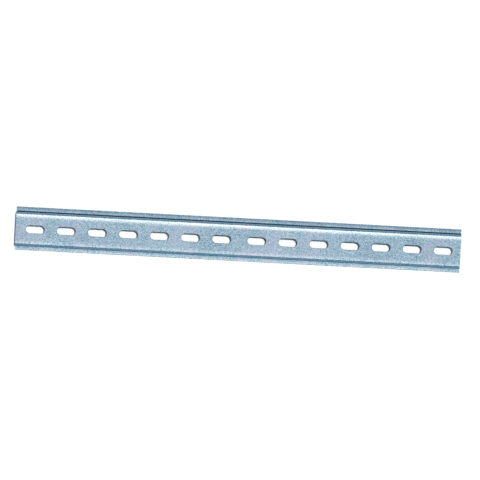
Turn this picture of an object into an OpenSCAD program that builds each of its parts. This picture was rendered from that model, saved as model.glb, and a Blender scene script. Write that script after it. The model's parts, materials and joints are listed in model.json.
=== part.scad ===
// Slotted hat-section mounting rail, 35 mm wide and 7.5 mm high, rolled from one steel strip.
// It lies on its two flanges with the web uppermost. X runs along the rail, Y across it, and
// the origin is on the ground in the middle of the rail's outline.

/* [Section] */
// Width over the two flanges
rail_w = 35; // [31:0.5:45]
// Height from the face of the flanges to the back of the web
rail_h = 7.5; // [5:0.5:15]
// Width over the outside of the channel's two walls
channel_w = 27; // [20:0.5:30]
// Thickness of the strip
sheet_t = 1; // [0.6:0.1:1.5]
// Radius on the inner side of each bend
bend_r = 0.8; // [0.3:0.1:1.2]
// Radius left by slitting on the long edges of the strip
edge_r = 0.2; // [0.1:0.05:0.25]

/* [Length] */
// Length that the rail is cut to
rail_l = 358; // [80:1:2000]

/* [Slots] */
// Length of a slot from end to end
slot_l = 15; // [8:0.5:20]
// Width of a slot
slot_w = 6.2; // [4:0.1:8]
// Distance from one slot to the next within a group
slot_pitch = 25; // [22:0.5:40]
// Slots that one stroke of the punch makes
slots_per_group = 7; // [1:1:20]
// Distance from the last slot of a group to the first slot of the next one
group_step = 28.25; // [22:0.25:50]
// Distance from the cut end at -X to the middle of the first slot
first_slot = 15.75; // [12:0.25:40]
// Least metal between the last slot and the cut end at +X
end_land = 5; // [1:0.5:20]
// Radius that the punch draws over at the mouth of a slot, on the back of the web
mouth_r = 0.25; // [0.05:0.05:0.4]

/* [Hidden] */
$fn = 48;
// Colour of the zinc coating
zinc = [0.64, 0.72, 0.77];
// Cuts reach this far past a face
over = 1;
// Radius on the outer side of each bend
outer_r = bend_r + sheet_t;
// Middle of the bend from flange to wall, and of the bend from wall to web
foot_bend = [channel_w / 2 + bend_r, outer_r];
web_bend = [channel_w / 2 - outer_r, rail_h - outer_r];
// Distance from the first slot to slot i, counted from 0
function slot_run(i) = i * slot_pitch + floor(i / slots_per_group) * (group_step - slot_pitch);
// The slots that fit between the two cut ends
last_slot = rail_l - end_land - slot_l / 2;
slot_places = [
    for (i = [0 : floor(rail_l / min(slot_pitch, group_step))])
        if (first_slot + slot_run(i) <= last_slot) first_slot + slot_run(i) - rail_l / 2
];

// A quarter ring of the strip's thickness about the origin, in the quadrant that dir points to
module bend(dir) {
    intersection() {
        difference() {
            circle(r = outer_r);
            circle(r = bend_r);
        }
        translate([min(dir[0], 0), min(dir[1], 0)] * outer_r) square(outer_r);
    }
}

// Flange, wall and bends of the side at +Y, drawn with Y to the right and Z up
module half_section() {
    flange_w = rail_w / 2 - foot_bend[0];
    translate([foot_bend[0], 0]) {
        square([flange_w - edge_r, sheet_t]);
        translate([flange_w - edge_r - over / 10, edge_r]) square([edge_r + over / 10, sheet_t - 2 * edge_r]);
        for (z = [edge_r, sheet_t - edge_r])
            translate([flange_w - edge_r, z]) circle(r = edge_r);
    }
    translate(foot_bend) bend([-1, -1]);
    translate([channel_w / 2 - sheet_t, foot_bend[1]]) square([sheet_t, web_bend[1] - foot_bend[1]]);
    translate(web_bend) bend([1, 1]);
}

module section() {
    half_section();
    mirror([1, 0]) half_section();
    translate([-web_bend[0], rail_h - sheet_t]) square([2 * web_bend[0], sheet_t]);
}

// Half of the punched shape across a slot, with X from its middle line and Y up from the back
// of the web: the straight hole, and the rounded mouth that the punch leaves where it enters
module punch_profile() {
    half_w = slot_w / 2;
    translate([0, -sheet_t - over]) square([half_w, sheet_t + 2 * over]);
    difference() {
        translate([0, -mouth_r]) square([half_w + mouth_r, mouth_r + over]);
        translate([half_w + mouth_r, -mouth_r]) circle(r = mouth_r);
    }
}

// Punched shape of one slot: two round ends and the straight stretch between them
module slot_punch() {
    straight = slot_l - slot_w;
    for (side = [-1, 1])
        translate([side * straight / 2, 0, 0]) rotate_extrude() punch_profile();
    translate([-straight / 2, 0, 0])
        rotate([90, 0, 90]) linear_extrude(straight) {
            punch_profile();
            mirror([1, 0]) punch_profile();
        }
}

module din_rail() {
    color(zinc)
    difference() {
        translate([-rail_l / 2, 0, 0])
            rotate([90, 0, 90]) linear_extrude(rail_l) section();
        for (x = slot_places)
            translate([x, 0, rail_h]) slot_punch();
    }
}

din_rail();
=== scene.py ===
# A slotted 35 mm mounting rail of zinc-coated steel, lying on its flanges on a white table.
# Lengths are in metres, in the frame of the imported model: X along the rail, Y across it, Z up.
import json
import math

import bmesh
import bpy
from bmesh.types import BMEdge, BMVert
from mathutils import Matrix, Vector


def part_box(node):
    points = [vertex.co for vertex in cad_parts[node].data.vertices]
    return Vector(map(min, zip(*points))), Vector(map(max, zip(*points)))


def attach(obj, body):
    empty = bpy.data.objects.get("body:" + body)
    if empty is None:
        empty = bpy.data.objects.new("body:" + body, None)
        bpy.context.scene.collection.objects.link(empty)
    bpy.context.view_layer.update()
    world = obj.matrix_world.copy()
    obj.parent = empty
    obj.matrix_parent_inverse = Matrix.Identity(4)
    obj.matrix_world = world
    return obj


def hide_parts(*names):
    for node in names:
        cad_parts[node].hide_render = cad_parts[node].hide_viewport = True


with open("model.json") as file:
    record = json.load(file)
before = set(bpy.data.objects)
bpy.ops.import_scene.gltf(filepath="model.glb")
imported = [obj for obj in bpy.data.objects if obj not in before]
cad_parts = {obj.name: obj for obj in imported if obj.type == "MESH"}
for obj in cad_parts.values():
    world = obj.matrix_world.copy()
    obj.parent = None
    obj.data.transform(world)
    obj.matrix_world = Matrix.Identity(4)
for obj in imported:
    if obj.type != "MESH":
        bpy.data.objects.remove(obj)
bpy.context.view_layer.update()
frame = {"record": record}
MM = 0.001
# Two lengths that differ by less than this are taken as one
SAME = 1e-6


def slot_mounts():
    """The slots' middles along X, with their length and half width, from the stated mounts."""
    places = []
    for mount in frame["record"]["mounts"]:
        if mount["kind"] == "bolt_pattern":
            half = mount["dims"]["spacing_x_mm"] * MM / 2
            places += [mount["pos_m"][0] - half, mount["pos_m"][0] + half]
            length = mount["dims"]["slot_length_mm"] * MM
            half_width = mount["dims"]["hole_r_mm"] * MM
    return sorted(places), length, half_width


# ---------------------------------------------------------------- sizes of the rail
LOW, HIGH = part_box("din_rail")
RAIL_L = HIGH.x - LOW.x
RAIL_W = HIGH.y - LOW.y
RAIL_H = HIGH.z - LOW.z
SLOT_PLACES, SLOT_L, SLOT_R = slot_mounts()
# Length of a slot's straight sides
STRAIGHT = SLOT_L - 2 * SLOT_R
SHEET = 1.0 * MM
# Width over the outside of the channel's walls
CHANNEL_W = 27.0 * MM
# Radii inside and outside each bend
BEND_R = 0.8 * MM
OUTER_R = BEND_R + SHEET
# Where the flat web ends and its bend begins
WEB_EDGE = CHANNEL_W / 2 - OUTER_R
# Radii left by the slitter, by the punch going in, by the punch coming out, and by the shear
EDGE_R = 0.2 * MM
MOUTH_R = 0.25 * MM
BURR_R = 0.06 * MM
CUT_R = 0.08 * MM

# Width of the ring of even faces round each slot
COLLAR = 1.2 * MM
# Half the width of the web's middle band, which the slots lie in
BAND = SLOT_R + 3 * MM
# Faces round half a slot and across a quarter bend
ARC_STEPS = 24
BEND_STEPS = 16
# Faces across the smaller roundings
EDGE_STEPS = 4
BURR_STEPS = 1
CUT_STEPS = 2
# Edges that turn by more than this are rounded, and ones that turn by less are shaded smooth
SHARP = math.radians(60)
SMOOTH = math.radians(30)
# A face looks along an axis where its normal's part along it is over ALONG, and away from it
# where that part is under ASIDE
ALONG = 0.7
ASIDE = 0.3

# At +Y the web falls away from CROWN_FROM on, is steepest at CROWN_SLOPE where its bend begins,
# and is level again at CROWN_TO
CROWN_FROM = 8.6 * MM
CROWN_TO = 13.0 * MM
CROWN_SLOPE = 0.13
# How far the middle of the web lies below its edge at -Y
WEB_DISH = 0.09 * MM
# The flanges rise from LIFT_FROM outwards, to these slopes at their edges
LIFT_FROM = 15.1 * MM
LIFT_SLOPE_FRONT = 0.07
LIFT_SLOPE_BACK = 0.125
# Lines along the rail that the curved stretches are divided by, on each side
CROWN_LINES = 5
LIFT_LINES = 3
LIFT_STEP = 0.7 * MM


# ---------------------------------------------------------------- the rail's mesh
def only(kind, geom):
    return [item for item in geom if isinstance(item, kind)]


def same(a, b):
    return abs(a - b) < SAME


def connected(vert):
    """Every vertex and edge that can be reached from vert, in the order they are met."""
    verts, edges = [vert], []
    for reached in verts:
        for edge in reached.link_edges:
            if edge not in edges:
                edges.append(edge)
            other = edge.other_vert(reached)
            if other not in verts:
                verts.append(other)
    return verts + edges


def along_x(edge):
    """True for an edge that runs along the whole rail."""
    a, b = (vert.co for vert in edge.verts)
    return same(a.y, b.y) and same(a.z, b.z) and abs(a.x - b.x) > RAIL_L / 2


def on_plane(edge, axis, value):
    return all(same(vert.co[axis], value) for vert in edge.verts)


def is_sharp(edge):
    return len(edge.link_faces) == 2 and edge.calc_face_angle() > SHARP


def round_off(bm, edges, radius, steps):
    bmesh.ops.bevel(bm, geom=edges, offset=radius, offset_type="OFFSET", segments=steps,
                    profile=0.5, affect="EDGES", clamp_overlap=False, material=-1)


def slot_loop(bm, x, radius):
    """A closed loop of edges with two round ends, on the back of the web with its middle at x."""
    start = bm.verts.new((STRAIGHT / 2, -radius, 0))
    turned = bmesh.ops.spin(bm, geom=[start], cent=(STRAIGHT / 2, 0, 0), axis=(0, 0, 1), angle=math.pi,
                            steps=ARC_STEPS, use_merge=False, use_duplicate=False)
    end = only(BMVert, turned["geom_last"])[0]
    copy = bmesh.ops.duplicate(bm, geom=connected(start))
    twin = copy["vert_map"]
    bmesh.ops.rotate(bm, verts=only(BMVert, copy["geom"]), cent=(0, 0, 0),
                     matrix=Matrix.Rotation(math.pi, 3, "Z"))
    bm.edges.new((end, twin[start]))
    bm.edges.new((twin[end], start))
    loop = connected(start)
    bmesh.ops.translate(bm, verts=only(BMVert, loop), vec=(x, 0, RAIL_H))
    return only(BMEdge, loop)


def web_band(bm):
    """The web's middle band, with the slots cut in it."""
    rings = []
    for x in SLOT_PLACES:
        inner = slot_loop(bm, x, SLOT_R)
        outer = slot_loop(bm, x, SLOT_R + COLLAR)
        bmesh.ops.bridge_loops(bm, edges=inner + outer)
        rings += outer
    outline = ((LOW.x, -BAND), (HIGH.x, -BAND), (HIGH.x, BAND), (LOW.x, BAND))
    corners = [bm.verts.new((x, y, RAIL_H)) for x, y in outline]
    sides = [bm.edges.new(pair) for pair in zip(corners, corners[1:] + corners[:1])]
    bmesh.ops.triangle_fill(bm, use_beauty=True, use_dissolve=False, edges=rings + sides, normal=(0, 0, 1))


def strip_out(bm, edges, move):
    """Extrudes long edges by move and returns the new long edges."""
    grown = bmesh.ops.extrude_edge_only(bm, edges=edges)["geom"]
    bmesh.ops.translate(bm, verts=only(BMVert, grown), vec=move)
    return [edge for edge in only(BMEdge, grown) if along_x(edge)]


def fold(bm, z, radius):
    """Bends the strip at height z, on both walls."""
    folds = [edge for edge in bm.edges if along_x(edge) and on_plane(edge, 2, z)
             and same(abs(edge.verts[0].co.y), CHANNEL_W / 2)]
    round_off(bm, folds, radius, BEND_STEPS)


def build_rail():
    """The punched and rolled strip, with its edges still sharp."""
    bm = bmesh.new()
    web_band(bm)
    for side in (-1, 1):
        edge = [edge for edge in bm.edges if along_x(edge) and same(edge.verts[0].co.y, side * BAND)]
        web_edge = strip_out(bm, edge, (0, side * (CHANNEL_W / 2 - BAND), 0))
        foot = strip_out(bm, web_edge, (0, 0, SHEET - RAIL_H))
        strip_out(bm, foot, (0, side * (RAIL_W - CHANNEL_W) / 2, 0))
    bmesh.ops.recalc_face_normals(bm, faces=bm.faces)
    web_face = next(face for face in bm.faces if same(min(vert.co.z for vert in face.verts), RAIL_H))
    if web_face.normal.z < 0:
        bmesh.ops.reverse_faces(bm, faces=bm.faces)
    fold(bm, RAIL_H, OUTER_R)
    fold(bm, SHEET, BEND_R)
    bmesh.ops.solidify(bm, geom=bm.faces[:], thickness=SHEET)
    bmesh.ops.recalc_face_normals(bm, faces=bm.faces)
    return bm


def round_edges(bm):
    """Rounds the slit edges, the slots' mouths and burrs, and the two cut ends."""
    slit = [edge for edge in bm.edges if is_sharp(edge) and along_x(edge)
            and same(abs(edge.verts[0].co.y), RAIL_W / 2)]
    round_off(bm, slit, EDGE_R, EDGE_STEPS)
    for z, radius, steps in ((RAIL_H, MOUTH_R, EDGE_STEPS), (RAIL_H - SHEET, BURR_R, BURR_STEPS)):
        rims = [edge for edge in bm.edges if is_sharp(edge) and on_plane(edge, 2, z)
                and abs(edge.verts[0].co.x) < RAIL_L / 2 - SAME]
        round_off(bm, rims, radius, steps)
    for end in (LOW.x, HIGH.x):
        cut = [edge for edge in bm.edges if is_sharp(edge) and on_plane(edge, 0, end)]
        round_off(bm, cut, CUT_R, CUT_STEPS)


def web_drop(y):
    """How far the rolls left the web below its highest line, at y from the middle."""
    if y < -CROWN_FROM:
        return WEB_DISH * max(0, 1 - ((-y - CROWN_FROM) / (WEB_EDGE - CROWN_FROM)) ** 2)
    drop = WEB_DISH
    if y > CROWN_FROM:
        drop += CROWN_SLOPE * (min(y, WEB_EDGE) - CROWN_FROM) ** 2 / (2 * (WEB_EDGE - CROWN_FROM))
    if y > WEB_EDGE:
        over, reach = min(y, CROWN_TO) - WEB_EDGE, CROWN_TO - WEB_EDGE
        drop += CROWN_SLOPE * (over - over ** 2 / (2 * reach))
    return drop


def set_roll(bm):
    """Gives the strip what the rolls leave: a web not quite flat, and flanges that rise a little."""
    lines = [CROWN_FROM + (WEB_EDGE - CROWN_FROM) * i / CROWN_LINES for i in range(CROWN_LINES)]
    lines += [LIFT_FROM + LIFT_STEP * i for i in range(LIFT_LINES)]
    for side in (-1, 1):
        for y in lines:
            bmesh.ops.bisect_plane(bm, geom=bm.verts[:] + bm.edges[:] + bm.faces[:], dist=SAME,
                                   plane_co=(0, side * y, 0), plane_no=(0, 1, 0))
    for vert in bm.verts:
        if vert.co.z > RAIL_H / 2:
            vert.co.z -= web_drop(vert.co.y)
        elif abs(vert.co.y) > LIFT_FROM:
            slope = LIFT_SLOPE_BACK if vert.co.y > 0 else LIFT_SLOPE_FRONT
            vert.co.z += slope * (abs(vert.co.y) - LIFT_FROM) ** 2 / (RAIL_W - 2 * LIFT_FROM)


def mark_cut_faces(bm):
    """Gives the second material to the faces that the shear, the slitter and the punch leave bare."""
    for face in bm.faces:
        middle = face.calc_center_median()
        sheared = abs(face.normal.x) > ALONG and abs(middle.x) > RAIL_L / 2 - CUT_R
        slit = abs(face.normal.y) > ALONG and abs(middle.y) > RAIL_W / 2 - EDGE_R / 2
        punched = abs(face.normal.z) < ASIDE and middle.z > RAIL_H / 2 and abs(middle.y) < SLOT_R + CUT_R
        face.material_index = 1 if sheared or slit or punched else 0


def finish_mesh(bm, name):
    """Makes an object of the bmesh, shaded smooth but for its sharp edges."""
    bmesh.ops.recalc_face_normals(bm, faces=bm.faces)
    for face in bm.faces:
        face.smooth = True
    for edge in bm.edges:
        edge.smooth = len(edge.link_faces) != 2 or edge.calc_face_angle() < SMOOTH
    mesh = bpy.data.meshes.new(name)
    bm.to_mesh(mesh)
    bm.free()
    obj = bpy.data.objects.new(name, mesh)
    bpy.context.scene.collection.objects.link(obj)
    return obj


def make_rail():
    bm = build_rail()
    round_edges(bm)
    set_roll(bm)
    mark_cut_faces(bm)
    rail = finish_mesh(bm, "rail_strip")
    # the large flat faces set the shading of the small ones beside them
    flat = rail.modifiers.new("flat_faces", "WEIGHTED_NORMAL")
    flat.keep_sharp = True
    flat.weight = 60
    return rail


rail = make_rail()
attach(rail, "root")
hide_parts("din_rail")


# ---------------------------------------------------------------- shader helpers
class Value:
    """A shader socket that Python's operators work on."""

    def __init__(self, nodes, socket):
        self.nodes = nodes
        self.socket = socket

    def maths(self, operation, *others):
        sockets = dict(enumerate((self, *others)))
        return self.nodes.add("ShaderNodeMath", {"operation": operation}, sockets)

    def output(self, name):
        """Another output of the same node."""
        return Value(self.nodes, self.socket.node.outputs[name])

    def __add__(self, other):
        return self.maths("ADD", other)

    def __sub__(self, other):
        return self.maths("SUBTRACT", other)

    def __rsub__(self, other):
        return (self * -1.0) + other

    def __mul__(self, other):
        return self.maths("MULTIPLY", other)

    __radd__ = __add__
    __rmul__ = __mul__


class Nodes:
    """Adds nodes to one material or world."""

    def __init__(self, owner):
        owner.use_nodes = True
        self.tree = owner.node_tree
        self.tree.nodes.clear()

    def add(self, kind, settings=None, sockets=None, out=0):
        node = self.tree.nodes.new(kind)
        for name, value in (settings or {}).items():
            setattr(node, name, value)
        for key, value in (sockets or {}).items():
            if isinstance(value, Value):
                self.tree.links.new(value.socket, node.inputs[key])
            else:
                node.inputs[key].default_value = value
        return Value(self, node.outputs[out] if node.outputs else None)


def between(n, value, start, end, low=0.0, high=1.0):
    """A soft step of value from low at start to high at end."""
    return n.add("ShaderNodeMapRange", {"interpolation_type": "SMOOTHSTEP"},
                 {"Value": value, "From Min": start, "From Max": end, "To Min": low, "To Max": high})


def inside(n, value, rise, fall):
    """A soft band of value: 0 up to rise, 1 in the middle, 0 again past fall."""
    return between(n, value, *rise) * between(n, value, *fall, 1.0, 0.0)


def mix(n, share, first, second):
    """The first colour where share is 0, and the second where it is 1."""
    return n.add("ShaderNodeMix", {"data_type": "RGBA"}, {0: share, 6: first, 7: second}, out=2)


# ---------------------------------------------------------------- zinc coat
ZINC_DARK = (0.125, 0.235, 0.325, 1)
ZINC_LIGHT = (0.39, 0.54, 0.65, 1)
ZINC_STAIN = (0.37, 0.43, 0.56, 1)
# Painted shade in the bends of the wall at -Y and of the wall at +Y, standing for their dark reflections
BEND_SHADE_FRONT = (0.025, 0.22, 0.33, 1)
BEND_SHADE_BACK = (0.12, 0.24, 0.33, 1)
# Painted shade round the slots' mouths
RIM_SHADE = (0.07, 0.19, 0.26, 1)
# Painted shade in the crevices at the walls' feet
CREVICE_SHADE = (0.012, 0.045, 0.08, 1)
# Where the painted bend shade begins and ends across the rail, and where the painted crevice shade lies at
# the wall's foot
BEND_SHADE_FROM = (12.2 * MM, 13.2 * MM)
BEND_SHADE_TO = (13.9 * MM, 14.7 * MM)
CREVICE_FROM = (13.0 * MM, 13.4 * MM)
CREVICE_TO = (14.0 * MM, 14.6 * MM)
CREVICE_TOP = (2.4 * MM, 4.5 * MM)
# How far round a slot the painted shade of its rim fades out
RIM_SHADE_FADE = (0.15 * MM, 0.75 * MM)
# Where the front's painted bend shade gives way to the back's, far from both bends
MIDDLE = (-5 * MM, 5 * MM)
# The noise levels between which a stain sets in
STAIN_LEVELS = (0.45, 0.65)
# How much of the coat's own colour the stain and each painted shade hides
STAIN_SHARE = 0.4
BEND_SHADE_SHARE = 0.85
RIM_SHADE_SHARE = 0.65
CREVICE_SHADE_SHARE = 0.95


def slot_distance(n, along, across):
    """How far a point of the web lies outside the nearest slot."""
    half = len(SLOT_PLACES) // 2
    last, first = SLOT_PLACES[half - 1], SLOT_PLACES[half]
    pitch = SLOT_PLACES[1] - SLOT_PLACES[0]
    second_group = along.maths("GREATER_THAN", (last + first) / 2)
    start = second_group * (first - SLOT_PLACES[0]) + SLOT_PLACES[0]
    # a shift by more whole steps than the rail has keeps the remainder positive
    shift = (len(SLOT_PLACES) + 0.5) * pitch
    nearest = (along - start + shift).maths("MODULO", pitch) - pitch / 2
    past = (nearest.maths("ABSOLUTE") - STRAIGHT / 2).maths("MAXIMUM", 0.0)
    return (past * past + across * across).maths("SQRT") - SLOT_R


def zinc_coat():
    """Rolled zinc: drawn grain, spangle and a cloudy mottle, with painted shade in the bends, round the
    slots' rims and in the crevices.
    """
    material = bpy.data.materials.new("zinc_coat")
    n = Nodes(material)
    place = n.add("ShaderNodeTexCoord", out="Object")
    along = n.add("ShaderNodeSeparateXYZ", sockets={0: place}, out="X")
    side = along.output("Y")
    high = along.output("Z")
    across = side.maths("ABSOLUTE")

    drawn = n.add("ShaderNodeMapping", sockets={"Vector": place, "Scale": (0.04, 1, 1)})
    grain = n.add("ShaderNodeTexNoise", sockets={"Vector": drawn, "Scale": 2500.0, "Detail": 3.0})
    spangle = n.add("ShaderNodeTexVoronoi", {"feature": "F1"},
                    {"Vector": place, "Scale": 1000.0}, out="Color")
    flake = n.add("ShaderNodeSeparateColor", sockets={0: spangle})
    cloud = n.add("ShaderNodeTexNoise",
                  sockets={"Vector": place, "Scale": 1100.0, "Detail": 4.0, "Roughness": 0.65})
    patch = n.add("ShaderNodeTexNoise", sockets={"Vector": place, "Scale": 45.0, "Detail": 2.0})
    stain = n.add("ShaderNodeTexNoise", sockets={"Vector": place, "Scale": 55.0, "Detail": 2.0})
    tone = (flake - 0.5) * 0.35 + (cloud - 0.5) * 3.0 + (grain - 0.5) * 0.35 + (patch - 0.5) * 0.5 + 0.5
    colour = mix(n, tone, ZINC_DARK, ZINC_LIGHT)
    colour = mix(n, between(n, stain, *STAIN_LEVELS) * STAIN_SHARE, colour, ZINC_STAIN)

    # Painted shade: the bends are coloured dark teal for their shade and dark reflections, the front's bend
    # differently from the back's
    bend_shade = mix(n, between(n, side, *MIDDLE), BEND_SHADE_FRONT, BEND_SHADE_BACK)
    colour = mix(n, inside(n, across, BEND_SHADE_FROM, BEND_SHADE_TO) * BEND_SHADE_SHARE, colour, bend_shade)
    # Painted shade: a dark ring round each slot's mouth stands for the rounded rim's dark reflection
    rim_shade = between(n, slot_distance(n, along, across), *RIM_SHADE_FADE, 1.0, 0.0)
    colour = mix(n, rim_shade * RIM_SHADE_SHARE, colour, RIM_SHADE)
    # Painted shade: the crevices at the walls' feet, low on the rail, are coloured near black
    crevice_shade = inside(n, across, CREVICE_FROM, CREVICE_TO) * between(n, high, *CREVICE_TOP, 1.0, 0.0)
    colour = mix(n, crevice_shade * CREVICE_SHADE_SHARE, colour, CREVICE_SHADE)

    rough = (cloud - 0.5) * 0.2 + (flake - 0.5) * 0.08 + 0.25
    height = cloud * 0.5 + flake * 0.25 + grain * 0.3
    bump = n.add("ShaderNodeBump", sockets={"Strength": 0.4, "Distance": 0.05 * MM, "Height": height})
    coat = n.add("ShaderNodeBsdfPrincipled",
                 sockets={"Base Color": colour, "Metallic": 1.0, "Roughness": rough, "Normal": bump})
    n.add("ShaderNodeOutputMaterial", sockets={"Surface": coat})
    return material


# ---------------------------------------------------------------- bare steel
STEEL_DARK = (0.13, 0.15, 0.17, 1)
STEEL_LIGHT = (0.4, 0.43, 0.46, 1)


def bare_steel():
    """Cut steel with the upright scores of the punch and the shear."""
    material = bpy.data.materials.new("bare_steel")
    n = Nodes(material)
    place = n.add("ShaderNodeTexCoord", out="Object")
    drawn = n.add("ShaderNodeMapping", sockets={"Vector": place, "Scale": (1, 1, 0.12)})
    scores = n.add("ShaderNodeTexNoise", sockets={"Vector": drawn, "Scale": 4500.0, "Detail": 2.0})
    bloom = n.add("ShaderNodeTexNoise", sockets={"Vector": place, "Scale": 1500.0, "Detail": 3.0})
    tone = (scores - 0.5) * 1.2 + (bloom - 0.5) * 0.8 + 0.5
    colour = mix(n, tone, STEEL_DARK, STEEL_LIGHT)
    rough = (bloom - 0.5) * 0.3 + 0.42
    bump = n.add("ShaderNodeBump", sockets={"Strength": 0.4, "Distance": 0.04 * MM, "Height": scores})
    steel = n.add("ShaderNodeBsdfPrincipled",
                  sockets={"Base Color": colour, "Metallic": 1.0, "Roughness": rough, "Normal": bump})
    n.add("ShaderNodeOutputMaterial", sockets={"Surface": steel})
    return material


rail.data.materials.append(zinc_coat())
rail.data.materials.append(bare_steel())

# ---------------------------------------------------------------- table
TABLE_HALF = 3.0
# The table lies this far under the rail, so that their faces don't coincide
TABLE_GAP = 0.02 * MM
PAPER = (0.95, 0.95, 0.95, 1)
WHITE = (1, 1, 1, 1)


def table_white():
    """White paper, with a trace of its own light where it is looked at or mirrored."""
    material = bpy.data.materials.new("table_white")
    n = Nodes(material)
    paper = n.add("ShaderNodeBsdfDiffuse", sockets={"Color": PAPER})
    glow = n.add("ShaderNodeEmission", sockets={"Color": WHITE, "Strength": 0.02})
    bright = n.add("ShaderNodeAddShader", sockets={0: paper, 1: glow})
    ray = n.add("ShaderNodeLightPath", out="Is Camera Ray")
    seen = ray + ray.output("Is Glossy Ray") + ray.output("Is Transmission Ray")
    both = n.add("ShaderNodeMixShader", sockets={0: seen, 1: paper, 2: bright})
    n.add("ShaderNodeOutputMaterial", sockets={"Surface": both})
    return material


def make_table():
    bm = bmesh.new()
    bmesh.ops.create_grid(bm, x_segments=1, y_segments=1, size=TABLE_HALF)
    bmesh.ops.translate(bm, verts=bm.verts, vec=(0, 0, -TABLE_GAP))
    table = finish_mesh(bm, "table")
    table.data.materials.append(table_white())
    return table


make_table()

# ---------------------------------------------------------------- light
# What the metal mirrors depends on how far a direction leans towards +Y, in degrees from
# straight up. The softbox and the ceiling are bands of lean, each with soft edges.
SOFTBOX_FROM = (-2.5, 8.5)
SOFTBOX_TO = (16.0, 34.0)
SOFTBOX_LIGHT = (3.5, 2.35, 1.75, 1)
CEILING_FROM = (-18.0, -8.0)
CEILING_TO = (22.0, 38.0)
CEILING_LIGHT = (1.03, 1.06, 1.08, 1)
# Neither reaches below this height of the direction, where 0 is level and 1 is straight up
HIGH_UP = (0.3, 0.7)
# The dimmer room, from its front to its back, and the pale one round it
ROOM_LEAN = (-25.0, 30.0)
ROOM_FRONT = (0.16, 0.36, 0.45, 1)
ROOM_BACK = (0.34, 0.43, 0.5, 1)
ROOM_PALE = (0.74, 0.78, 0.82, 1)
DIM_SIDEWAYS = (0.12, 0.45)
DIM_UP = (0.5, 0.75)
# Even light on matt surfaces
SOFT_FILL = (0.09, 0.16, 0.19, 1)
KEY_FROM = Vector((0.155, 0.215, 1))
KEY_POWER = 3.0
KEY_ANGLE = math.radians(4)


def studio_world():
    world = bpy.data.worlds.new("studio")
    n = Nodes(world)
    direction = n.add("ShaderNodeTexCoord", out="Generated")
    along = n.add("ShaderNodeSeparateXYZ", sockets={0: direction}, out="X")
    up = along.output("Z")
    lean = along.output("Y").maths("ARCTAN2", up) * math.degrees(1)
    high_up = between(n, up, *HIGH_UP)
    room = mix(n, between(n, lean, *ROOM_LEAN), ROOM_FRONT, ROOM_BACK)
    dim = between(n, along.maths("ABSOLUTE"), *DIM_SIDEWAYS, 1.0, 0.0) * between(n, up, *DIM_UP)
    room = mix(n, dim, ROOM_PALE, room)
    room = mix(n, inside(n, lean, CEILING_FROM, CEILING_TO) * high_up, room, CEILING_LIGHT)
    softbox = inside(n, lean, SOFTBOX_FROM, SOFTBOX_TO) * high_up
    glow = n.add("ShaderNodeMix", {"data_type": "RGBA", "blend_type": "ADD", "clamp_result": False},
                 {0: softbox, 6: room, 7: SOFTBOX_LIGHT}, out=2)
    matt = n.add("ShaderNodeLightPath", out="Is Diffuse Ray")
    light = n.add("ShaderNodeBackground", sockets={"Color": mix(n, matt, glow, SOFT_FILL), "Strength": 1.0})
    n.add("ShaderNodeOutputWorld", sockets={"Surface": light})
    return world


def key_light():
    sun = bpy.data.lights.new("key", "SUN")
    sun.energy = KEY_POWER
    sun.angle = KEY_ANGLE
    key = bpy.data.objects.new("key", sun)
    key.visible_glossy = False
    key.rotation_mode = "QUATERNION"
    key.rotation_quaternion = KEY_FROM.to_track_quat("Z", "Y")
    bpy.context.scene.collection.objects.link(key)


bpy.context.scene.world = studio_world()
key_light()

# ---------------------------------------------------------------- camera
# The point looked at, how far away the camera is, and the width that it takes in there
FOCUS = Vector((1.5 * MM, -0.06 * MM, RAIL_H / 2))
DISTANCE = 6.0
FIELD = 385.9 * MM
# The camera leans towards +Y from straight above, and turns the rail a little in the picture
VIEW_LEAN = math.radians(-5.8)
VIEW_TURN = math.radians(3.0)
SENSOR = 36
# The camera sees nothing past this
CLIP_END = 20


def look_down():
    lens = bpy.data.cameras.new("camera")
    lens.sensor_width = SENSOR
    lens.lens = SENSOR * DISTANCE / FIELD
    lens.clip_end = CLIP_END
    camera = bpy.data.objects.new("camera", lens)
    camera.rotation_euler = (VIEW_LEAN, 0, VIEW_TURN)
    camera.location = FOCUS + camera.rotation_euler.to_matrix() @ Vector((0, 0, DISTANCE))
    bpy.context.scene.collection.objects.link(camera)
    bpy.context.scene.camera = camera


look_down()
bpy.context.scene.view_settings.view_transform = "Standard"
